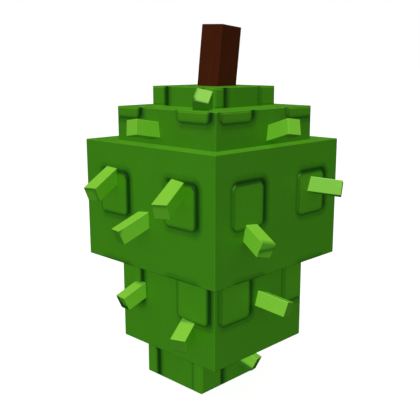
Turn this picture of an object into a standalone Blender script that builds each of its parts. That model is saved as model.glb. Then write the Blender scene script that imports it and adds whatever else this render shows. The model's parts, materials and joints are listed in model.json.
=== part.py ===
"""Block-style soursop: a stepped square fruit with raised pads and square spines, and its stem.

The fruit grew as one piece, so its blocks, pads and spines are fused into one solid. The stem is
a bar of its own, seated in a plain socket in the crown. All sizes are millimetres, turned into
metres by MM. The origin is on the fruit's axis, in the flat face that the fruit rests on.
"""

import math

import bmesh
import bpy
from mathutils import Matrix, Vector

MM = 0.001

# The blocks of the fruit, from the tip that it rests on up to the crown that holds the stem.
# Each has its width along X, depth along Y, height, and the centre of its plan.
BLOCKS = {
    "tip": {"size": (53.3, 53.0, 28.8), "centre": (-1.3, -9.6)},
    "waist": {"size": (86.8, 86.2, 56.9), "centre": (6.7, -6.4)},
    "belly": {"size": (120.0, 119.5, 79.5), "centre": (0.0, 0.0)},
    "shoulder": {"size": (89.3, 91.0, 22.3), "centre": (5.2, -2.9)},
    "crown": {"size": (57.2, 58.1, 12.6), "centre": (-1.7, 3.4)},
}
BLOCK_OVERLAP = 8.0       # a block runs on into the wider block beside it

# Raised pads: one grid of rounded squares over all four walls, cut off at the blocks' edges.
PAD_WIDTH = 28.4
PAD_PITCH = 62.0          # from one pad's middle to the next, across and up
PAD_ROW_HEIGHT = 133.0    # middle of the belly's row above the rest face
PAD_ROWS = range(-2, 2)   # rows counted from the belly's row
PAD_COLUMNS = (-0.5, 0.5)  # columns counted from the fruit's axis
PAD_CORNER = 3.2
PAD_CORNER_STEPS = 3
PAD_PROUD = 0.8           # how far a pad stands out of its wall
PAD_SUNK = 1.5
PAD_MARGIN = 0.4          # bare strip between a cut pad and the block's edge
PAD_SMALLEST = 2.0        # slivers narrower than this are left out

# Spines: square bars that stand out of a wall, listed for the front and the right-hand wall.
# across is from the fruit's axis, up is from the foot of the block; yaw turns the bar to the
# right as seen from outside, pitch lifts it, roll turns it about its length, in degrees.
SPINE_SIDE = 9.9
SPINE_SUNK = 8.0
WALL_SPINES = (
    {"block": "belly", "wall": "front", "across": -32.8, "up": 57.6,
     "yaw": 14, "pitch": -24, "roll": 3, "stand": 22.6},
    {"block": "belly", "wall": "front", "across": 29.4, "up": 56.2,
     "yaw": 22, "pitch": -21, "roll": 2, "stand": 24.6},
    {"block": "belly", "wall": "front", "across": -2.1, "up": 32.7,
     "yaw": -11, "pitch": -24, "roll": 2, "stand": 20.0},
    {"block": "shoulder", "wall": "front", "across": -3.5, "up": 8.5,
     "yaw": -2, "pitch": 10, "roll": 9, "stand": 18.0},
    {"block": "waist", "wall": "front", "across": -18.4, "up": 37.5,
     "yaw": -6, "pitch": -23, "roll": 3, "stand": 16.1},
    {"block": "waist", "wall": "front", "across": 27.2, "up": 22.5,
     "yaw": 23, "pitch": -20, "roll": -1, "stand": 16.7},
    {"block": "shoulder", "wall": "right", "across": 2.6, "up": 6.4,
     "yaw": -10, "pitch": 17, "roll": -8, "stand": 20.9},
    {"block": "belly", "wall": "right", "across": 33.6, "up": 50.8,
     "yaw": 29, "pitch": -5, "roll": -18, "stand": 18.9},
    {"block": "belly", "wall": "right", "across": -29.2, "up": 29.9,
     "yaw": -20, "pitch": -18, "roll": -13, "stand": 20.2},
    {"block": "waist", "wall": "right", "across": -5.7, "up": 36.5,
     "yaw": 12, "pitch": -10, "roll": -18, "stand": 20.0},
    {"block": "tip", "wall": "right", "across": 7.3, "up": 13.2,
     "yaw": 16, "pitch": -23, "roll": -13, "stand": 9.7},
)
# One more pair comes up out of the shoulder's ledge, beside the crown: place is in plan, and the
# angles are those of a spine on the front wall.
LEDGE_SPINE = {"place": (27.3, -36.3), "yaw": 44, "pitch": 44, "roll": -16, "stand": 12.9}

# Stem: a square bar that leans a little, in a socket with a fitting gap all round.
STEM_SIDE = 18.5
STEM_HEIGHT = 39.0        # above the crown
STEM_SUNK = 10.0
STEM_CENTRE = (-0.3, 4.7)
STEM_LEAN = (-5.2, 1.8)   # degrees about X and Y
FIT_GAP = 0.3

# Outward direction of each wall, as a turn about Z of the +Y direction, in degrees.
WALLS = {"front": 180.0, "right": 270.0, "back": 0.0, "left": 90.0}
OPPOSITE = {"front": "back", "right": "left"}

RIND_GREEN = (0.040, 0.180, 0.007, 1.0)
RIND_ROUGHNESS = 0.55
STEM_BROWN = (0.050, 0.012, 0.004, 1.0)
STEM_ROUGHNESS = 0.7


def clear_scene():
    for scene_object in list(bpy.data.objects):
        bpy.data.objects.remove(scene_object, do_unlink=True)


def make_material(name, colour, roughness):
    material = bpy.data.materials.new(name)
    material.use_nodes = True
    shader = material.node_tree.nodes["Principled BSDF"]
    shader.inputs["Base Color"].default_value = colour
    shader.inputs["Roughness"].default_value = roughness
    shader.inputs["Metallic"].default_value = 0.0
    return material


def make_object(name, build, collection=None):
    """Make an object whose mesh is filled by build(bm), with its faces pointing out."""
    bm = bmesh.new()
    build(bm)
    bmesh.ops.recalc_face_normals(bm, faces=bm.faces)
    mesh = bpy.data.meshes.new(name)
    bm.to_mesh(mesh)
    bm.free()
    new_object = bpy.data.objects.new(name, mesh)
    (collection or bpy.context.scene.collection).objects.link(new_object)
    return new_object


def add_box(bm, low, high, placing=None):
    """Add a box between two corners in millimetres, then place it by a matrix in metres."""
    size = [(b - a) * MM for a, b in zip(low, high)]
    middle = [(a + b) / 2 * MM for a, b in zip(low, high)]
    matrix = Matrix.Translation(middle) @ Matrix.Diagonal((*size, 1.0))
    if placing is not None:
        matrix = placing @ matrix
    bmesh.ops.create_cube(bm, size=1.0, matrix=matrix)


def block_box(name):
    """Lowest and highest corners of a block, in millimetres."""
    foot = 0.0
    for other, block in BLOCKS.items():
        if other == name:
            break
        foot += block["size"][2]
    width, depth, height = BLOCKS[name]["size"]
    x, y = BLOCKS[name]["centre"]
    low = (x - width / 2, y - depth / 2, foot)
    high = (x + width / 2, y + depth / 2, foot + height)
    return low, high


def wall_of(block, wall):
    """Where a wall lies, and the span of the wall across, seen from the fruit's axis."""
    low, high = block_box(block)
    if wall == "front":
        return -low[1], low[0], high[0]
    if wall == "back":
        return high[1], -high[0], -low[0]
    if wall == "right":
        return high[0], low[1], high[1]
    return -low[0], -high[1], -low[1]


def wall_frame(wall):
    """Matrix whose +Y points out of the wall and whose -X points to the right, seen from outside."""
    return Matrix.Rotation(math.radians(WALLS[wall]), 4, "Z")


def build_block(name):
    low, high = block_box(name)
    low, high = list(low), list(high)
    order = list(BLOCKS)
    if order.index(name) > order.index("belly"):
        low[2] -= BLOCK_OVERLAP
    if order.index(name) < order.index("belly"):
        high[2] += BLOCK_OVERLAP
    return lambda bm: add_box(bm, low, high)


def pad_outline(left, right, bottom, top, cut):
    """Points round a pad; a corner is round unless the block's edge cuts a side beside it."""
    corners = (
        (right, top, 0, cut["right"] or cut["top"]),
        (left, top, 90, cut["left"] or cut["top"]),
        (left, bottom, 180, cut["left"] or cut["bottom"]),
        (right, bottom, 270, cut["right"] or cut["bottom"]),
    )
    points = []
    for x, z, start, square in corners:
        if square:
            points.append((x, z))
            continue
        centre_x = x - math.copysign(PAD_CORNER, x - (left + right) / 2)
        centre_z = z - math.copysign(PAD_CORNER, z - (bottom + top) / 2)
        for step in range(PAD_CORNER_STEPS + 1):
            angle = math.radians(start + 90 * step / PAD_CORNER_STEPS)
            points.append((centre_x + PAD_CORNER * math.cos(angle),
                           centre_z + PAD_CORNER * math.sin(angle)))
    return points


def build_pad(outline, wall, distance):
    """A flat slab with the outline, from inside the wall to just outside it."""
    frame = wall_frame(wall)

    def build(bm):
        rings = []
        for out in (distance - PAD_SUNK, distance + PAD_PROUD):
            ring = []
            for across, height in outline:
                place = frame @ Vector((-across * MM, out * MM, height * MM))
                ring.append(bm.verts.new(place))
            rings.append(ring)
        for ring in rings:
            bm.faces.new(ring)
        count = len(outline)
        for i in range(count):
            j = (i + 1) % count
            bm.faces.new((rings[0][i], rings[0][j], rings[1][j], rings[1][i]))

    return build


def make_pads(block, collection):
    low, high = block_box(block)
    foot, head = low[2] + PAD_MARGIN, high[2] - PAD_MARGIN
    for wall in WALLS:
        distance, first, last = wall_of(block, wall)
        first, last = first + PAD_MARGIN, last - PAD_MARGIN
        for column in PAD_COLUMNS:
            for row in PAD_ROWS:
                middle = column * PAD_PITCH
                height = PAD_ROW_HEIGHT + row * PAD_PITCH
                sides = {
                    "left": middle - PAD_WIDTH / 2 < first,
                    "right": middle + PAD_WIDTH / 2 > last,
                    "bottom": height - PAD_WIDTH / 2 < foot,
                    "top": height + PAD_WIDTH / 2 > head,
                }
                left = max(middle - PAD_WIDTH / 2, first)
                right = min(middle + PAD_WIDTH / 2, last)
                bottom = max(height - PAD_WIDTH / 2, foot)
                top = min(height + PAD_WIDTH / 2, head)
                if min(right - left, top - bottom) < PAD_SMALLEST:
                    continue
                outline = pad_outline(left, right, bottom, top, sides)
                make_object(f"{block}_{wall}_pad", build_pad(outline, wall, distance), collection)


def spine_placing(root, wall, spine):
    """Place a bar that lies along +Y, with its root at the given point in millimetres."""
    turn = Matrix.Rotation(math.radians(WALLS[wall] + spine["yaw"]), 4, "Z")
    lift = Matrix.Rotation(math.radians(spine["pitch"]), 4, "X")
    roll = Matrix.Rotation(math.radians(spine["roll"]), 4, "Y")
    return Matrix.Translation(Vector(root) * MM) @ turn @ lift @ roll


def build_spine(placing, stand):
    half = SPINE_SIDE / 2
    return lambda bm: add_box(bm, (-half, -SPINE_SUNK, -half), (half, stand, half), placing)


def make_wall_spine(spine, wall, collection):
    distance, _, _ = wall_of(spine["block"], wall)
    foot = block_box(spine["block"])[0][2]
    root = wall_frame(wall) @ Vector((-spine["across"], distance, foot + spine["up"]))
    placing = spine_placing(root, wall, spine)
    make_object("spine", build_spine(placing, spine["stand"]), collection)


def make_spines(collection):
    """The hidden walls carry the same spines as the seen ones, half a turn round the fruit."""
    for spine in WALL_SPINES:
        make_wall_spine(spine, spine["wall"], collection)
        make_wall_spine(spine, OPPOSITE[spine["wall"]], collection)
    ledge = block_box("shoulder")[1][2]
    x, y = LEDGE_SPINE["place"]
    for wall, root in (("front", (x, y, ledge)), ("back", (-x, -y, ledge))):
        placing = spine_placing(root, wall, LEDGE_SPINE)
        make_object("spine", build_spine(placing, LEDGE_SPINE["stand"]), collection)


def stem_placing():
    crown = block_box("crown")[1][2]
    lean_x = Matrix.Rotation(math.radians(STEM_LEAN[0]), 4, "X")
    lean_y = Matrix.Rotation(math.radians(STEM_LEAN[1]), 4, "Y")
    return Matrix.Translation(Vector((*STEM_CENTRE, crown)) * MM) @ lean_x @ lean_y


def build_stem(gap=0.0):
    """The stem's bar, or with a gap the shape of the socket that holds it."""
    half = STEM_SIDE / 2 + gap
    low = (-half, -half, -STEM_SUNK - gap)
    high = (half, half, STEM_HEIGHT)
    return lambda bm: add_box(bm, low, high, stem_placing())


def apply_modifiers(target):
    """Replace an object's mesh by its evaluated one and drop its modifiers."""
    graph = bpy.context.evaluated_depsgraph_get()
    mesh = bpy.data.meshes.new_from_object(target.evaluated_get(graph))
    target.modifiers.clear()
    target.data = mesh


def fuse(target, collection):
    """One union of the target with all that grows on it, after which the collection goes."""
    union = target.modifiers.new("grown on", "BOOLEAN")
    union.operation = "UNION"
    union.operand_type = "COLLECTION"
    union.collection = collection
    union.solver = "EXACT"
    apply_modifiers(target)
    for piece in list(collection.objects):
        bpy.data.objects.remove(piece, do_unlink=True)
    bpy.data.collections.remove(collection)


def cut(target, cutter):
    hole = target.modifiers.new("socket", "BOOLEAN")
    hole.operation = "DIFFERENCE"
    hole.object = cutter
    hole.solver = "EXACT"
    apply_modifiers(target)
    bpy.data.objects.remove(cutter, do_unlink=True)


def make_fruit():
    grown = bpy.data.collections.new("grown on the belly")
    bpy.context.scene.collection.children.link(grown)
    fruit = make_object("fruit", build_block("belly"))
    for block in BLOCKS:
        if block != "belly":
            make_object(block, build_block(block), grown)
        make_pads(block, grown)
    make_spines(grown)
    fuse(fruit, grown)

    socket = make_object("socket_cutter", build_stem(gap=FIT_GAP))
    socket.hide_render = True
    socket.display_type = "WIRE"
    cut(fruit, socket)
    fruit.data.materials.clear()
    fruit.data.materials.append(make_material("rind", RIND_GREEN, RIND_ROUGHNESS))
    return fruit


def make_stem():
    stem = make_object("stem", build_stem())
    stem.data.materials.append(make_material("stem", STEM_BROWN, STEM_ROUGHNESS))
    return stem


clear_scene()
make_fruit()
make_stem()
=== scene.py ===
# Block-style soursop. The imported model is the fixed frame; this script gives it its looks:
# a dark green rind with raised pads, light green square spines and a brown stem.
import json
import math

import bmesh
import bpy
from mathutils import Matrix, Vector

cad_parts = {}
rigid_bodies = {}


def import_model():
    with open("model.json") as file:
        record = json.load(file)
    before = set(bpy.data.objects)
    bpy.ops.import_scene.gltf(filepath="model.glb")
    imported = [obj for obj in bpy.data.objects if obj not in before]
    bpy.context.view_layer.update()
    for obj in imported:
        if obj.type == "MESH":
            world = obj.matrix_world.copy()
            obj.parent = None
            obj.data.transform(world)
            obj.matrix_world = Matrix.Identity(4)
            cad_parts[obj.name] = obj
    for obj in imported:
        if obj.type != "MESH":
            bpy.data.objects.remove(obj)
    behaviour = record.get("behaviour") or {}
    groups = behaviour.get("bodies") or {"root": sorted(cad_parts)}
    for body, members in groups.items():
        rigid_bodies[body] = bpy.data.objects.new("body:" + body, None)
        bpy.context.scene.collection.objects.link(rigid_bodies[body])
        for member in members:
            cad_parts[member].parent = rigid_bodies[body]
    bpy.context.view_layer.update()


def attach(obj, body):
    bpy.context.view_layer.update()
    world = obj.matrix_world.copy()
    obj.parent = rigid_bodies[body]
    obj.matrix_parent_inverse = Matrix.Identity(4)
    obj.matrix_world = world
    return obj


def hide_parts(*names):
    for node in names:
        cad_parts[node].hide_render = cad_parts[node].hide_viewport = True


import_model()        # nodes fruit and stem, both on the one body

mm = 0.001
body = "root"

# Each wall looks outwards along +Y turned this far about Z, in degrees.
wallTurns = {"front": 180.0, "right": 270.0, "back": 0.0, "left": 90.0}
oppositeWall = {"front": "back", "right": "left"}


# Camera: it looks down a little on the edge between the front and the right-hand wall.
camera = {
    "lens": 58.2,                          # mm, on a sensor 36 mm wide
    "azimuth": 44.16,                      # degrees, from looking along +Y
    "elevation": 12.39,
    "place": (0.3176, -0.3290, 0.2163),    # metres
}


def makeCamera():
    data = bpy.data.cameras.new("camera")
    data.lens = camera["lens"]
    eye = bpy.data.objects.new("camera", data)
    eye.location = camera["place"]
    tilt = math.radians(90 - camera["elevation"])
    eye.rotation_euler = (tilt, 0, math.radians(camera["azimuth"]))
    bpy.context.scene.collection.objects.link(eye)
    bpy.context.scene.camera = eye


# Stage: a white studio without shadows. The key comes from above and in front, a weak fill from
# behind, and the room lights evenly.
studio = {
    "keyFrom": (0.275, -0.465, 0.845),
    "keyStrength": 3.25,
    "keySoftness": 20.0,                   # degrees across
    "backFrom": (-0.60, 0.72, 0.25),
    "backStrength": 1.0,
    "room": 0.27,
    "backdrop": 1.0,
    "floorSize": 30.0,
    "floorColour": (0.92, 0.92, 0.92),
}


def aimSun(name, comesFrom, strength, softness, sheen=True):
    data = bpy.data.lights.new(name, "SUN")
    data.energy = strength
    data.angle = math.radians(softness)
    data.use_shadow = False
    lamp = bpy.data.objects.new(name, data)
    lamp.visible_glossy = sheen
    lamp.rotation_euler = Vector(comesFrom).to_track_quat("Z", "Y").to_euler()
    bpy.context.scene.collection.objects.link(lamp)


def makeFloor():
    half = studio["floorSize"] / 2
    mesh = bpy.data.meshes.new("floor")
    mesh.from_pydata([(-half, -half, 0), (half, -half, 0), (half, half, 0), (-half, half, 0)], [],
                     [(0, 1, 2, 3)])
    floor = bpy.data.objects.new("floor", mesh)
    bpy.context.scene.collection.objects.link(floor)
    sheet = Shader("studio floor")
    sheet.surface({"Base Color": studio["floorColour"], "Roughness": 0.9,
                   "Specular IOR Level": 0.0})
    floor.data.materials.append(sheet.material)
    floor.visible_diffuse = False          # it throws no light back up on the fruit
    floor.visible_glossy = False


def makeRoom():
    world = bpy.data.worlds.new("studio")
    world.use_nodes = True
    bpy.context.scene.world = world
    tree = world.node_tree
    tree.nodes.clear()
    output = tree.nodes.new("ShaderNodeOutputWorld")
    choice = tree.nodes.new("ShaderNodeMixShader")
    path = tree.nodes.new("ShaderNodeLightPath")
    tree.links.new(path.outputs["Is Camera Ray"], choice.inputs[0])
    for index, strength in enumerate((studio["room"], studio["backdrop"])):
        light = tree.nodes.new("ShaderNodeBackground")
        light.inputs["Color"].default_value = (1, 1, 1, 1)
        light.inputs["Strength"].default_value = strength
        tree.links.new(light.outputs[0], choice.inputs[index + 1])
    tree.links.new(choice.outputs[0], output.inputs["Surface"])
    world.cycles_visibility.glossy = False  # a matt room: only the key leaves a sheen


def makeStage():
    aimSun("key", studio["keyFrom"], studio["keyStrength"], studio["keySoftness"])
    aimSun("back fill", studio["backFrom"], studio["backStrength"], studio["keySoftness"],
           sheen=False)
    makeFloor()
    makeRoom()
    bpy.context.scene.view_settings.view_transform = "Standard"
    print("stage: floor, key, back fill and room light")


# Shader maths. A wire is one output socket, and an expression on wires adds Math nodes.
class Wire:
    def __init__(self, sheet, socket):
        self.sheet = sheet
        self.socket = socket

    def maths(self, operation, first, second=0.0):
        return self.sheet.node("Math", {"operation": operation}, {0: first, 1: second})

    def __add__(self, other):
        return self.maths("ADD", self, other)

    def __radd__(self, other):
        return self.maths("ADD", other, self)

    def __sub__(self, other):
        return self.maths("SUBTRACT", self, other)

    def __rsub__(self, other):
        return self.maths("SUBTRACT", other, self)

    def __mul__(self, other):
        return self.maths("MULTIPLY", self, other)

    def __rmul__(self, other):
        return self.maths("MULTIPLY", other, self)

    def __truediv__(self, other):
        return self.maths("DIVIDE", self, other)

    def __rtruediv__(self, other):
        return self.maths("DIVIDE", other, self)

    def __pow__(self, other):
        return self.maths("POWER", self, other)

    def __rpow__(self, other):
        return self.maths("POWER", other, self)

    def __abs__(self):
        return self.maths("ABSOLUTE", self)

    def fraction(self):
        return self.maths("FRACT", self)

    def sign(self):
        return self.maths("SIGN", self)

    def above(self, floor):                # never less than floor
        return self.maths("MAXIMUM", self, floor)

    def below(self, ceiling):
        return self.maths("MINIMUM", self, ceiling)

    def step(self, start, end):            # 0 before start, 1 after end, smooth between
        return self.sheet.node("MapRange", {"interpolation_type": "SMOOTHSTEP"},
                               {"Value": self, "From Min": start, "From Max": end})

    def other(self, name):                 # another output of the same node
        return Wire(self.sheet, self.socket.node.outputs[name])


class Shader:
    def __init__(self, name):
        self.material = bpy.data.materials.new(name)
        self.material.use_nodes = True
        self.tree = self.material.node_tree
        self.tree.nodes.clear()

    def node(self, kind, settings, inputs, output=0):
        made = self.tree.nodes.new("ShaderNode" + kind)
        for name, value in settings.items():
            if name == "stops":
                ramp = made.color_ramp.elements
                while len(ramp) < len(value):
                    ramp.new(1.0)
                for element, (position, colour) in zip(ramp, value):
                    element.position = position
                    element.color = (*colour, 1.0)[:4]
            else:
                setattr(made, name, value)
        for name, value in inputs.items():
            if isinstance(name, int):
                socket = made.inputs[name]
            else:
                socket = next(s for s in made.inputs if name in (s.identifier, s.name))
            if isinstance(value, Wire):
                self.tree.links.new(value.socket, socket)
            elif socket.type == "RGBA" and len(value) == 3:
                socket.default_value = (*value, 1.0)
            else:
                socket.default_value = value
        if not made.outputs:
            return None
        if isinstance(output, int):
            return Wire(self, made.outputs[output])
        return Wire(self, next(s for s in made.outputs if output in (s.identifier, s.name)))

    def blend(self, first, second, factor, kind="MIX"):
        return self.node("Mix", {"data_type": "RGBA", "blend_type": kind},
                         {"Factor_Float": factor, "A_Color": first, "B_Color": second},
                         "Result_Color")

    def place(self):                       # the object's own coordinates, in metres
        return self.node("TexCoord", {}, {}, "Object")

    def facing(self):                      # 1 where the surface looks towards the key
        normal = self.node("TexCoord", {}, {}, "Normal")
        return self.node("VectorMath", {"operation": "DOT_PRODUCT"},
                         {0: normal, 1: Vector(studio["keyFrom"]).normalized()}, "Value")

    def mapped(self, name):                # a two-part place that is kept in the mesh
        return self.node("UVMap", {"uv_map": name}, {})

    def noise(self, scale, detail=3.0, vector=None):
        vector = vector or self.place()
        return self.node("TexNoise", {}, {"Vector": vector, "Scale": scale, "Detail": detail,
                                          "Roughness": 0.55})

    def bump(self, height, distance, strength, under=None):
        inputs = {"Height": height, "Distance": distance, "Strength": strength}
        if under is not None:
            inputs["Normal"] = under
        return self.node("Bump", {}, inputs)

    def surface(self, inputs):
        shader = self.node("BsdfPrincipled", {}, inputs)
        self.node("OutputMaterial", {}, {"Surface": shader})
        return self.material


# Blocks of the fruit, in millimetres: width along X, depth along Y, height, and plan centre.
fruitBlocks = {
    "tip": {"size": (53.3, 53.0, 28.8), "centre": (-1.3, -9.6)},
    "waist": {"size": (86.8, 86.2, 56.9), "centre": (6.7, -6.4)},
    "belly": {"size": (120.0, 119.5, 79.5), "centre": (0.0, 0.0)},
    "shoulder": {"size": (89.3, 91.0, 22.3), "centre": (5.2, -2.9)},
    "crown": {"size": (57.2, 58.1, 12.6), "centre": (-1.7, 3.4)},
}

# The rind: its blocks' edges, and the pads that stand a little proud inside a fine groove.
rind = {
    "edgeRound": 0.45,                     # mm, as are all lengths here
    "edgeSteps": 3,
    "overlap": 8.0,                        # a block runs on into the wider block beside it
    "wallReach": 1.5,                      # a face this near a wall belongs to it
    "slack": 0.01,                         # a wall runs on this far past its foot and head
    "flatWithin": 0.05,                    # a level face this near a block's foot or head is bare
    "levelNormal": 0.9,                    # a face is level if its normal's Z is more than this
    "pitch": 62.0,                         # between pads' middles, across and up
    "rowHeight": 132.4,                    # middle of the belly's row
    "rows": range(-2, 2),                  # in pitches from the belly's row
    "columns": (-0.5, 0.5),                # in pitches from the fruit's axis
    "lineHalf": 14.5,                      # from a pad's middle to the middle of its groove
    "lineReach": 1.5,                      # a pad is made if its groove comes this near a wall
    "lineCorner": 4.5,                     # radius of the groove's corners
    "cornerSteps": 8,
    "margin": 0.8,                         # a cut pad stays this far inside the block's edge
    "smallest": 2.0,                       # a pad with a shorter side is left out
    "grooveDepth": 0.27,
    "grooveFrom": -0.75,                   # distances outwards from the groove's middle
    "grooveFloor": 0.20,
    "grooveTo": 2.00,
    "grooveLip": 0.02,                     # the floor eases up to this far below the wall
    "grooveSteps": 5,
    "grooveClear": 0.30,                   # the cutter stands this far out of the wall
    # a pad's rim as (distance outwards from the groove's middle, height above the wall)
    "padRim": ((-0.60, -1.10), (-0.62, 0.16), (-0.70, 0.30), (-0.88, 0.40), (-1.15, 0.44)),
}


def linkTo(collection, name, bm):
    bmesh.ops.recalc_face_normals(bm, faces=bm.faces)
    mesh = bpy.data.meshes.new(name)
    bm.to_mesh(mesh)
    bm.free()
    made = bpy.data.objects.new(name, mesh)
    collection.objects.link(made)
    return made


def newCollection(name):
    made = bpy.data.collections.new(name)
    bpy.context.scene.collection.children.link(made)
    return made


def blockBox(name):
    foot = 0.0
    for other, block in fruitBlocks.items():
        if other == name:
            break
        foot += block["size"][2]
    width, depth, height = fruitBlocks[name]["size"]
    x, y = fruitBlocks[name]["centre"]
    return (Vector((x - width / 2, y - depth / 2, foot)),
            Vector((x + width / 2, y + depth / 2, foot + height)))


def wallSpan(block, wall):
    # how far out the wall is, and where it starts and ends across, seen from outside
    low, high = blockBox(block)
    return {
        "front": (-low.y, low.x, high.x),
        "back": (high.y, -high.x, -low.x),
        "right": (high.x, low.y, high.y),
        "left": (-low.x, -high.y, -low.y),
    }[wall]


def onWall(wall, across, out, height):
    turn = Matrix.Rotation(math.radians(wallTurns[wall]), 3, "Z")
    return turn @ Vector((-across, out, height)) * mm


def addRoundedBox(bm, low, high, rounding, steps, placing=Matrix()):
    size = (high - low) * mm
    middle = (high + low) / 2 * mm
    matrix = placing @ Matrix.Translation(middle) @ Matrix.Diagonal((*size, 1.0))
    corners = bmesh.ops.create_cube(bm, size=1.0, matrix=matrix)["verts"]
    edges = list(dict.fromkeys(edge for corner in corners for edge in corner.link_edges))
    bmesh.ops.bevel(bm, geom=edges, offset=rounding * mm, segments=steps, profile=0.5,
                    affect="EDGES")


def roundedSquare(left, right, bottom, top, radius, cut=()):
    # points round a square whose corners are round, except beside a side that is cut
    corners = (
        (right, top, 1, 1, {"right", "top"}),
        (left, top, -1, 1, {"left", "top"}),
        (left, bottom, -1, -1, {"left", "bottom"}),
        (right, bottom, 1, -1, {"right", "bottom"}),
    )
    points = []
    for index, (x, z, sideX, sideZ, sides) in enumerate(corners):
        reach = min(radius, (right - left) / 2, (top - bottom) / 2)
        if sides & set(cut):
            reach = min(reach, rind["edgeRound"])
        for step in range(rind["cornerSteps"] + 1):
            angle = math.radians(90 * index + 90 * step / rind["cornerSteps"])
            points.append((x - sideX * reach + reach * math.cos(angle),
                           z - sideZ * reach + reach * math.sin(angle)))
    return points


def padPlaces(block, wall):
    # middle of each pad that shows on this wall
    low, high = blockBox(block)
    first, last = wallSpan(block, wall)[1:]
    reach = rind["lineHalf"] + rind["lineReach"]
    for column in rind["columns"]:
        for row in rind["rows"]:
            across = column * rind["pitch"]
            height = rind["rowHeight"] + row * rind["pitch"]
            if across + reach < first or across - reach > last:
                continue
            if height + reach < low.z or height - reach > high.z:
                continue
            yield across, height


def grooveSection():
    # inner side, then the floor easing up to the wall
    depth = rind["grooveDepth"]
    section = [(rind["grooveFrom"], rind["grooveClear"]), (rind["grooveFrom"], -depth)]
    for step in range(rind["grooveSteps"] + 1):
        share = step / rind["grooveSteps"]
        section.append((rind["grooveFloor"] + share * (rind["grooveTo"] - rind["grooveFloor"]),
                        -rind["grooveLip"] - depth * (1 + math.cos(math.pi * share)) / 2))
    section.append((rind["grooveTo"], rind["grooveClear"]))
    return section


def addGroove(bm, wall, distance, across, height):
    # a closed ring with the groove's section, swept round the pad
    rings = []
    for offset, out in grooveSection():
        half = rind["lineHalf"] + offset
        outline = roundedSquare(across - half, across + half, height - half, height + half,
                                rind["lineCorner"] + offset)
        rings.append([bm.verts.new(onWall(wall, x, distance + out, z)) for x, z in outline])
    for ring, following in zip(rings, rings[1:] + rings[:1]):
        for i in range(len(ring)):
            j = (i + 1) % len(ring)
            bm.faces.new((ring[i], ring[j], following[j], following[i]))


def addPad(bm, wall, distance, sides, cut):
    rings = []
    for offset, out in rind["padRim"]:
        inset = offset - rind["padRim"][0][0]
        left, right, bottom, top = sides
        outline = roundedSquare(left - inset, right + inset, bottom - inset, top + inset,
                                rind["lineCorner"] + offset, cut)
        rings.append([bm.verts.new(onWall(wall, x, distance + out, z)) for x, z in outline])
    for ring, following in zip(rings, rings[1:]):
        for i in range(len(ring)):
            j = (i + 1) % len(ring)
            bm.faces.new((ring[i], ring[j], following[j], following[i]))
    bm.faces.new(rings[0])
    bm.faces.new(rings[-1])


def padSides(block, wall, across, height):
    # the pad's sides, kept inside the wall, and the names of those that the wall cuts
    low, high = blockBox(block)
    first, last = wallSpan(block, wall)[1:]
    half = rind["lineHalf"] + rind["padRim"][0][0]
    margin = rind["margin"]
    cut = set()
    if across - half < first + margin:
        cut.add("left")
    if across + half > last - margin:
        cut.add("right")
    if height - half < low.z + margin:
        cut.add("bottom")
    if height + half > high.z - margin:
        cut.add("top")
    sides = (max(across - half, first + margin), min(across + half, last - margin),
             max(height - half, low.z + margin), min(height + half, high.z - margin))
    return sides, cut


def apply(target):
    graph = bpy.context.evaluated_depsgraph_get()
    mesh = bpy.data.meshes.new_from_object(target.evaluated_get(graph))
    target.modifiers.clear()
    target.data = mesh


def boolean(target, operation, collection):
    if collection.objects:
        modifier = target.modifiers.new(operation, "BOOLEAN")
        modifier.operation = operation
        modifier.operand_type = "COLLECTION"
        modifier.collection = collection
        modifier.solver = "EXACT"
        apply(target)
    for used in list(collection.objects):
        bpy.data.objects.remove(used, do_unlink=True)
    bpy.data.collections.remove(collection)


def makeBlock(name, collection):
    low, high = blockBox(name)
    order = list(fruitBlocks)
    if order.index(name) > order.index("belly"):
        low.z -= rind["overlap"]
    if order.index(name) < order.index("belly"):
        high.z += rind["overlap"]
    bm = bmesh.new()
    addRoundedBox(bm, low, high, rind["edgeRound"], rind["edgeSteps"])
    block = linkTo(collection, name + "_block", bm)

    grooves = newCollection(name + " grooves")
    pads = newCollection(name + " pads")
    for wall in wallTurns:
        distance = wallSpan(name, wall)[0]
        for across, height in padPlaces(name, wall):
            bm = bmesh.new()
            addGroove(bm, wall, distance, across, height)
            linkTo(grooves, "groove", bm)
            sides, cut = padSides(name, wall, across, height)
            if min(sides[1] - sides[0], sides[3] - sides[2]) < rind["smallest"]:
                continue
            bm = bmesh.new()
            addPad(bm, wall, distance, sides, cut)
            linkTo(pads, "pad", bm)
    boolean(block, "DIFFERENCE", grooves)
    boolean(block, "UNION", pads)
    return block


def nearestWall(point):
    # name of the wall that a point lies on, or None on a top or an underside
    for name in fruitBlocks:
        low, high = blockBox(name)
        if not low.z - rind["slack"] <= point.z <= high.z + rind["slack"]:
            continue
        gaps = {"front": abs(point.y - low.y), "right": abs(point.x - high.x),
                "back": abs(point.y - high.y), "left": abs(point.x - low.x)}
        wall = min(gaps, key=gaps.get)
        if gaps[wall] < rind["wallReach"]:
            return wall
    return None


def mapWalls(mesh):
    # keeps each wall's own two-part place, across and height in metres, for the painted shade
    # lines
    layer = mesh.uv_layers.new(name="wall")
    bare = (rind["pitch"] * mm, (rind["rowHeight"] + rind["pitch"] / 2) * mm)
    levels = [corner.z * mm for name in fruitBlocks for corner in blockBox(name)]
    for face in mesh.polygons:
        ledge = min(abs(face.center.z - level) for level in levels) < rind["flatWithin"] * mm
        flat = ledge and abs(face.normal.z) > rind["levelNormal"]
        wall = None if flat else nearestWall(face.center / mm)
        for loop in face.loop_indices:
            point = mesh.vertices[mesh.loops[loop].vertex_index].co
            across = {"front": point.x, "back": -point.x, "right": point.y,
                      "left": -point.y, None: 0.0}[wall]
            layer.data[loop].uv = (across, point.z) if wall else bare


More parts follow.
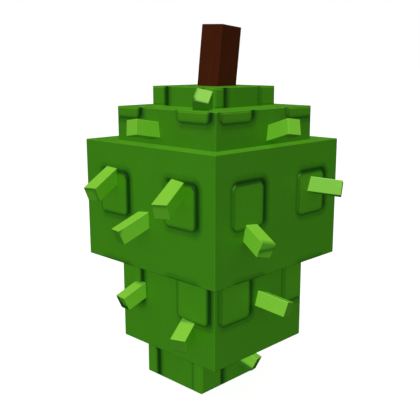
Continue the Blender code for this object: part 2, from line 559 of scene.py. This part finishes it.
def makeRind():
    parts = newCollection("rind parts")
    pieces = {name: makeBlock(name, parts) for name in fruitBlocks}
    fruit = pieces.pop("belly")
    parts.objects.unlink(fruit)
    bpy.context.scene.collection.objects.link(fruit)
    boolean(fruit, "UNION", parts)
    fruit.name = "rind"
    fruit.data.name = "rind"
    mapWalls(fruit.data)
    fruit.data.materials.clear()
    fruit.data.materials.append(rindMaterial())
    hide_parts("fruit")
    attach(fruit, body)
    print("rind:", len(fruit.data.polygons), "faces")


# Colour of the rind, and the painted shade: a dark line in the groove round each pad with a soft
# painted shadow outside it.
rindColourAndShade = {
    "green": (0.0510, 0.2700, 0.0041),
    "paintedLitTopGreen": (0.0680, 0.2860, 0.0072),  # painted light: the blocks' tops, which face the key, are lighter
    "topFacing": (0.5, 0.8),               # a top looks this much towards the key
    "upperWallShade": (1.03, 0.925, 1.08),     # painted shade on the walls above the belly: less green, against the green light that the ledges throw on them
    "upperBlend": 0.1,                     # mm above the belly
    "padLight": (1.15, 1.10, 1.05),        # a pad is this much lighter than the wall
    "padEdge": (-2.6, -0.6),               # mm outwards from the line's middle
    "tintPower": (1.38, 1.0, 0.42),        # the line takes most from red and least from blue
    # painted shade by direction round the pad, darkest on the right and head sides: the line's
    # depth, its width in mm, the soft shade's depth, and how far inside the groove's middle the
    # line runs, in mm
    "line": {
        "left": (0.34, 1.5, 0.00, 0.6),
        "left foot": (0.34, 1.8, 0.02, 0.1),
        "foot": (0.62, 1.95, 0.04, 0.0),
        "right foot": (0.80, 1.9, 0.20, 0.3),
        "right": (1.60, 1.75, 0.28, 0.0),
        "right head": (1.85, 1.7, 0.42, 0.3),
        "head": (1.40, 1.2, 0.20, 0.05),
        "left head": (0.30, 1.4, 0.06, 0.5),
    },
    "softFrom": (0.3, 2.0),                # mm outwards: the soft shade sets in
    "softTo": (2.8, 6.0),                  # and fades out
    "shift": (0.15, -0.30),                # mm across and up, from the groove to the line
    "deepest": 2.0,                        # a ramp's full value stands for this depth
    "patches": {"scale": 28.0, "edge": (0.45, 0.75), "tint": (1.12, 1.12, 1.12), "share": 0.40},
    "specks": {"scale": 900.0, "edge": (0.30, 0.46), "tint": (0.80, 0.80, 0.80), "share": 0.35},
    "dimples": 140.0,                      # scale
    "dimpleDepth": 0.0004,                 # metres
    "dimpleStrength": 0.25,
    "poreDepth": 0.00012,                  # metres
    "poreStrength": 0.35,
    "roughness": 0.42,
    "patchRoughness": 0.12,
    "speckRoughness": 0.10,
    "sheen": 0.30,
}


def padGrooveShade(sheet, mapName):
    # depth of the painted shade, a dark line in the groove round each pad with a soft painted
    # shadow outside it, and distance from the line's middle in mm, on a mapped surface
    look = rindColourAndShade
    place = sheet.node("SeparateXYZ", {}, {0: sheet.mapped(mapName)})
    pitch, half, corner = (rind[name] * mm for name in ("pitch", "lineHalf", "lineCorner"))
    shiftX, shiftZ = (shift * mm for shift in look["shift"])
    across = ((place - shiftX) / pitch).fraction() * pitch - pitch / 2
    rows = (place.other("Y") - (rind["rowHeight"] * mm + shiftZ)) / pitch + 0.5
    height = rows.fraction() * pitch - pitch / 2
    overX = abs(across) - (half - corner)
    overZ = abs(height) - (half - corner)
    beyondX = overX.above(0.0)
    beyondZ = overZ.above(0.0)
    corners = (beyondX * beyondX + beyondZ * beyondZ) ** 0.5
    inside = overX.maths("MAXIMUM", overX, overZ).below(0.0)
    distance = (corners + inside - corner) / mm
    angle = beyondX.maths("ARCTAN2", beyondZ * height.sign(), beyondX * across.sign())
    # one ramp over the direction carries the four values, from the left side anticlockwise
    order = ("left", "left foot", "foot", "right foot", "right", "right head", "head",
             "left head", "left")
    stops = [(i / (len(order) - 1), [value / look["deepest"] for value in look["line"][side]])
             for i, side in enumerate(order)]
    ramp = sheet.node("ValToRGB", {"stops": stops}, {0: angle / (2 * math.pi) + 0.5})
    depth = sheet.node("SeparateColor", {}, {0: ramp})
    width = depth.other("Green") * look["deepest"]
    inwards = ramp.other("Alpha") * look["deepest"]
    core = math.e ** (0.0 - ((distance + inwards) / width) ** 2.0)
    shade = distance.step(*look["softFrom"]) * (1.0 - distance.step(*look["softTo"]))
    grooveShade = depth * core + depth.other("Blue") * shade
    return grooveShade * look["deepest"], distance


def shadeTint(sheet, depth):
    # colour that a surface is multiplied by where the painted shade has this depth
    last = 12
    stops = []
    for i in range(last + 1):
        share = (i / last) ** 1.5          # closer stops where the eye sees most
        tint = [math.exp(-power * share * rindColourAndShade["deepest"])
                for power in rindColourAndShade["tintPower"]]
        stops.append((share, tint))
    return sheet.node("ValToRGB", {"stops": stops}, {0: depth / rindColourAndShade["deepest"]})


def mottle(sheet, colour, look):
    # broad light patches and fine dark specks, and the two noises behind them
    patches = sheet.noise(look["patches"]["scale"])
    specks = sheet.noise(look["specks"]["scale"], detail=2.0)
    light = patches.step(*look["patches"]["edge"]) * look["patches"]["share"]
    dark = (1.0 - specks.step(*look["specks"]["edge"])) * look["specks"]["share"]
    colour = sheet.blend(colour, look["patches"]["tint"], light, "MULTIPLY")
    colour = sheet.blend(colour, look["specks"]["tint"], dark, "MULTIPLY")
    return colour, patches, specks


def rindMaterial():
    sheet = Shader("soursop rind")
    look = rindColourAndShade
    depth, distance = padGrooveShade(sheet, "wall")
    pad = 1.0 - distance.step(*look["padEdge"])
    # painted light: the tops, which face the key, get a lighter green
    top = sheet.facing().step(*look["topFacing"])
    ledge = blockBox("shoulder")[0].z
    height = sheet.node("SeparateXYZ", {}, {0: sheet.place()}, "Z")
    # painted shade: the walls above the belly are made less green against the light the ledges
    # throw on them
    upperShade = height.step(ledge * mm, (ledge + look["upperBlend"]) * mm) * (1.0 - top)
    green = sheet.blend(look["green"], look["paintedLitTopGreen"], top)
    green = sheet.blend(green, look["upperWallShade"], upperShade, "MULTIPLY")
    green = sheet.blend(green, look["padLight"], pad, "MULTIPLY")
    mottled, patches, specks = mottle(sheet, green, look)
    # painted shade: the dark line in each groove and the soft shadow outside it darken the colour
    colour = sheet.blend(mottled, shadeTint(sheet, depth), 1.0, "MULTIPLY")
    roughness = (look["roughness"] + (patches - 0.5) * look["patchRoughness"]
                 + (specks - 0.5) * look["speckRoughness"])
    pores = sheet.bump(specks, look["poreDepth"], look["poreStrength"])
    dimples = sheet.noise(look["dimples"])
    skin = sheet.bump(dimples, look["dimpleDepth"], look["dimpleStrength"], pores)
    return sheet.surface({"Base Color": colour, "Roughness": roughness, "Normal": skin,
                          "Specular IOR Level": look["sheen"]})


# Spines: square bars. A row has the block, the wall, the root's place across from the fruit's axis
# and up from the block's foot, then yaw to the right seen from outside, pitch upwards, roll about
# the bar's length, how far the bar stands out, and its painted shade marks. These are the rind's
# painted groove shade run on over an end, top, left or right face, darkening parts of it: where
# the face's middle falls from a pad's middle, across and up, the turn in degrees, and how many
# times finer the line is.
spines = {
    "side": 9.9,                           # mm, as are all lengths here
    "sunk": 8.0,                           # inside the fruit
    "edgeRound": 0.35,
    "edgeSteps": 2,
    "onWalls": (
        ("belly", "front", -32.8, 57.6, 14, -24, 3, 22.6, {"end": (-10.0, -9.9, 180, 1.0)}),
        ("belly", "front", 29.4, 56.2, 22, -21, 2, 24.6, {"end": (0.0, -9.6, 180, 1.0)}),
        ("belly", "front", -2.1, 32.7, -11, -24, 2, 20.0, {"right": (5.4, -2.9, -135, 0.8)}),
        ("shoulder", "front", -3.5, 8.5, -2, 10, 9, 18.0, {}),
        ("waist", "front", -18.4, 37.5, -6, -23, 3, 16.1,
         {"end": (11.3, 11.3, 180, 1.0), "top": (0.0, -5.1, 180, 1.0)}),
        ("waist", "front", 27.2, 22.5, 23, -20, -1, 16.7,
         {"end": (-13.8, 0.0, 0, 0.1), "top": (0.0, -4.8, 180, 1.0)}),
        ("shoulder", "right", 2.6, 6.4, -10, 17, -8, 20.9, {}),
        ("belly", "right", 33.6, 50.8, 29, -5, -18, 18.9, {}),
        ("belly", "right", -29.2, 29.9, -20, -18, -13, 20.2,
         {"end": (0.0, -15.2, -17, 1.5), "top": (26.6, 0.0, -90, 1.0)}),
        ("waist", "right", -5.7, 36.5, 12, -10, -18, 20.0, {"top": (-14.0, 0.0, 0, 0.6)}),
        ("tip", "right", 7.3, 13.2, 16, -23, -13, 9.7, {"left": (0.0, 10.7, 180, 0.9)}),
    ),
    "onLedge": {"place": (27.3, -36.3), "yaw": 44, "pitch": 44, "roll": -16, "stand": 12.9,
                "marks": {"end": (8.1, 8.2, 180, 1.0)}},
    # painted light and shade: greens from the faces turned away from the key to those turned
    # towards it, so a face's green shifts with how the key falls on it
    "shadedAndLitGreens": ((0.00, (0.108, 0.365, 0.0195)), (0.02, (0.118, 0.540, 0.0140)),
               (0.06, (0.130, 0.600, 0.0140)), (0.13, (0.138, 0.610, 0.0140)),
               (0.22, (0.142, 0.560, 0.0150)), (0.45, (0.173, 0.575, 0.0250)),
               (1.00, (0.195, 0.500, 0.0320))),
    "patches": {"scale": 60.0, "edge": (0.45, 0.75), "tint": (1.08, 1.08, 1.08), "share": 0.5},
    "specks": {"scale": 1100.0, "edge": (0.30, 0.46), "tint": (0.82, 0.82, 0.82), "share": 0.3},
    "poreDepth": 0.0001,                   # metres
    "poreStrength": 0.3,
    "roughness": 0.40,
    "speckRoughness": 0.12,
    "lineSmoothness": 0.25,                # the painted shade line has less of a broad sheen
    "sheen": 0.45,
}


def spinePlacing(root, wall, yaw, pitch, roll):
    turn = Matrix.Rotation(math.radians(wallTurns[wall] + yaw), 4, "Z")
    lift = Matrix.Rotation(math.radians(pitch), 4, "X")
    spin = Matrix.Rotation(math.radians(roll), 4, "Y")
    return Matrix.Translation(Vector(root) * mm) @ turn @ lift @ spin


def spineFace(normal):
    # name of the face that looks this way, for a bar along +Y seen from its end
    x, y, z = normal
    if abs(y) >= max(abs(x), abs(z)):
        return "end" if y > 0 else "root"
    if abs(z) >= abs(x):
        return "top" if z > 0 else "under"
    return "left" if x > 0 else "right"


def mapShadeMarks(bar, stand, marks):
    # keeps where each face falls in the pads' painted shade pattern, or a bare place with no shade
    layer = bar.loops.layers.uv.new("marks")
    padMiddle = Vector((rind["pitch"] / 2, rind["rowHeight"]))
    bare = padMiddle + Vector((rind["pitch"] / 2, rind["pitch"] / 2))
    for face in bar.faces:
        name = spineFace(face.normal)
        for corner in face.loops:
            if name not in marks:
                corner[layer].uv = bare * mm
                continue
            x, y, z = corner.vert.co / mm
            inwards = stand / 2 - y
            flat = {"end": (-x, z), "top": (-x, inwards), "right": (inwards, z),
                    "left": (-inwards, z)}[name]
            offsetX, offsetZ, turn, scale = marks[name]
            turned = Matrix.Rotation(math.radians(turn), 2) @ Vector(flat) * scale
            corner[layer].uv = (padMiddle + turned + Vector((offsetX, offsetZ))) * mm


def addSpine(bm, placing, stand, marks):
    half = spines["side"] / 2
    bar = bmesh.new()
    addRoundedBox(bar, Vector((-half, -spines["sunk"], -half)), Vector((half, stand, half)),
                  spines["edgeRound"], spines["edgeSteps"])
    bar.normal_update()
    mapShadeMarks(bar, stand, marks)
    bar.transform(placing)
    mesh = bpy.data.meshes.new("bar")
    bar.to_mesh(mesh)
    bar.free()
    bm.from_mesh(mesh)
    bpy.data.meshes.remove(mesh)


def makeSpines():
    bm = bmesh.new()
    for block, wall, across, up, yaw, pitch, roll, stand, marks in spines["onWalls"]:
        for side in (wall, oppositeWall[wall]):    # the hidden walls carry the same spines
            distance = wallSpan(block, side)[0]
            foot = blockBox(block)[0].z
            root = onWall(side, across, distance, foot + up) / mm
            addSpine(bm, spinePlacing(root, side, yaw, pitch, roll), stand, marks)
    ledge = spines["onLedge"]
    height = blockBox("shoulder")[1].z
    for side, way in (("front", 1), ("back", -1)):
        root = (way * ledge["place"][0], way * ledge["place"][1], height)
        addSpine(bm, spinePlacing(root, side, ledge["yaw"], ledge["pitch"], ledge["roll"]),
                 ledge["stand"], ledge["marks"])
    piece = linkTo(bpy.context.scene.collection, "spines", bm)
    piece.data.materials.append(spineMaterial())
    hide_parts("fruit")
    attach(piece, body)
    print("spines:", len(piece.data.polygons), "faces")


def spineMaterial():
    sheet = Shader("soursop spine")
    # painted light and shade: the green follows how far each face turns towards the key
    green = sheet.node("ValToRGB", {"stops": spines["shadedAndLitGreens"]}, {0: sheet.facing()})
    mottled, _, specks = mottle(sheet, green, spines)
    # painted shade: the rind's groove shade pattern, run on over some faces, darkens them
    depth = padGrooveShade(sheet, "marks")[0]
    colour = sheet.blend(mottled, shadeTint(sheet, depth), 1.0, "MULTIPLY")
    smoother = depth.below(1.0) * spines["lineSmoothness"]
    roughness = spines["roughness"] + (specks - 0.5) * spines["speckRoughness"] - smoother
    skin = sheet.bump(specks, spines["poreDepth"], spines["poreStrength"])
    return sheet.surface({"Base Color": colour, "Roughness": roughness, "Normal": skin,
                          "Specular IOR Level": spines["sheen"]})


# Stem: a square bar that leans a little, with its foot in the crown.
stem = {
    "side": 18.5,                          # mm, as are all lengths here
    "height": 39.0,                        # above the crown
    "sunk": 10.0,                          # inside the crown
    "centre": (-0.3, 4.7),
    "lean": (-5.2, 1.8),                   # degrees about X and Y
    "edgeRound": 0.5,
    "edgeSteps": 3,
    "brown": (0.0640, 0.0108, 0.0016),
    "fibres": 420.0,                       # scale
    "fibreStretch": 0.08,                  # up the stem
    "lightFibres": (0.50, 0.75),
    "darkFibres": (0.28, 0.46),
    "fibreTint": 0.25,                     # lighter and darker than the brown
    "fibreShare": 0.5,
    "fibreDepth": 0.0003,                  # metres
    "fibreStrength": 0.4,
    "patches": 60.0,                       # scale
    "roughness": 0.60,
    "patchRoughness": 0.15,
    "sheen": 0.10,
}


def makeStem():
    bm = bmesh.new()
    half = stem["side"] / 2
    crown = blockBox("crown")[1].z
    leanX = Matrix.Rotation(math.radians(stem["lean"][0]), 4, "X")
    leanY = Matrix.Rotation(math.radians(stem["lean"][1]), 4, "Y")
    placing = Matrix.Translation(Vector((*stem["centre"], crown)) * mm) @ leanX @ leanY
    addRoundedBox(bm, Vector((-half, -half, -stem["sunk"])), Vector((half, half, stem["height"])),
                  stem["edgeRound"], stem["edgeSteps"], placing)
    piece = linkTo(bpy.context.scene.collection, "stem_bar", bm)
    piece.data.materials.append(stemMaterial())
    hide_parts("stem")
    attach(piece, body)
    print("stem:", len(piece.data.polygons), "faces")


def stemMaterial():
    sheet = Shader("soursop stem")
    stretch = (1.0, 1.0, stem["fibreStretch"])
    along = sheet.node("Mapping", {}, {"Vector": sheet.place(), "Scale": stretch})
    fibres = sheet.noise(stem["fibres"], vector=along)
    lighter = [part * (1 + stem["fibreTint"]) for part in stem["brown"]]
    darker = [part * (1 - stem["fibreTint"]) for part in stem["brown"]]
    light = fibres.step(*stem["lightFibres"]) * stem["fibreShare"]
    dark = (1.0 - fibres.step(*stem["darkFibres"])) * stem["fibreShare"]
    colour = sheet.blend(stem["brown"], lighter, light)
    colour = sheet.blend(colour, darker, dark)
    roughness = stem["roughness"] + (sheet.noise(stem["patches"]) - 0.5) * stem["patchRoughness"]
    bark = sheet.bump(fibres, stem["fibreDepth"], stem["fibreStrength"])
    return sheet.surface({"Base Color": colour, "Roughness": roughness, "Normal": bark,
                          "Specular IOR Level": stem["sheen"]})


makeCamera()
makeStage()
makeRind()
makeSpines()
makeStem()
